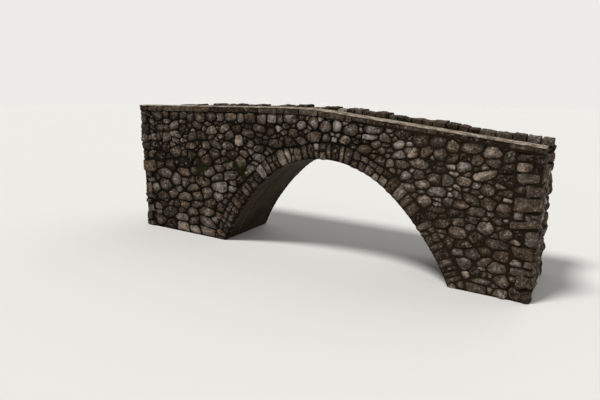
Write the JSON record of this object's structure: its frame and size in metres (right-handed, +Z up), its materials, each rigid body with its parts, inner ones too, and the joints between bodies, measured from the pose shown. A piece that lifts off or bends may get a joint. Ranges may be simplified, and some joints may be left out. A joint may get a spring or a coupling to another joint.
{
  "type": "stone arch footbridge",
  "caption": "Rustic stone footbridge: a rough rubble arch between solid abutments, with a narrow paved walkway and low mortar-capped parapets that slope to one bank.",
  "frame": {"origin": "middle of the bounding box in plan, on the level that both footings stand on", "axes": "+X along the bridge towards the low bank, +Y across it away from the front face, +Z up"},
  "size_m": [11, 2.06, 3.7587],
  "materials": {
    "wall_rubble": "rough weathered limestone rubble with dark recessed joints and moss",
    "soffit_mortar": "damp board-marked lime mortar, greenish brown",
    "capping_mortar": "trowelled lime mortar over flat stones, worn and lichened",
    "walkway_paving": "bedded rough stone paving, trodden smooth",
    "core_masonry": "rough packed limestone in mortar, hidden inside the walls"
  },
  "bodies": {
    "root": {"arch_crown": "soffit_mortar", "high_bank_arch_shoulder": "soffit_mortar", "high_bank_arch_haunch": "soffit_mortar", "high_bank_arch_foot": "soffit_mortar", "high_bank_abutment": "core_masonry", "high_bank_rubble_fill": "core_masonry", "high_bank_end_wall": "wall_rubble", "low_bank_arch_shoulder": "soffit_mortar", "low_bank_arch_haunch": "soffit_mortar", "low_bank_arch_foot": "soffit_mortar", "low_bank_abutment": "core_masonry", "low_bank_rubble_fill": "core_masonry", "low_bank_end_wall": "wall_rubble", "front_high_bank_spandrel": "wall_rubble", "front_high_bank_wing_wall": "wall_rubble", "front_low_bank_spandrel": "wall_rubble", "front_low_bank_wing_wall": "wall_rubble", "back_high_bank_spandrel": "wall_rubble", "back_high_bank_wing_wall": "wall_rubble", "back_low_bank_spandrel": "wall_rubble", "back_low_bank_wing_wall": "wall_rubble", "high_bank_walkway": "walkway_paving", "front_high_bank_parapet": "wall_rubble", "front_high_bank_capping": "capping_mortar", "back_high_bank_parapet": "wall_rubble", "back_high_bank_capping": "capping_mortar", "crest_walkway": "walkway_paving", "front_crest_parapet": "wall_rubble", "front_crest_capping": "capping_mortar", "back_crest_parapet": "wall_rubble", "back_crest_capping": "capping_mortar", "low_bank_walkway": "walkway_paving", "front_low_bank_parapet": "wall_rubble", "front_low_bank_capping": "capping_mortar", "back_low_bank_parapet": "wall_rubble", "back_low_bank_capping": "capping_mortar"}
  },
  "joints": []
}
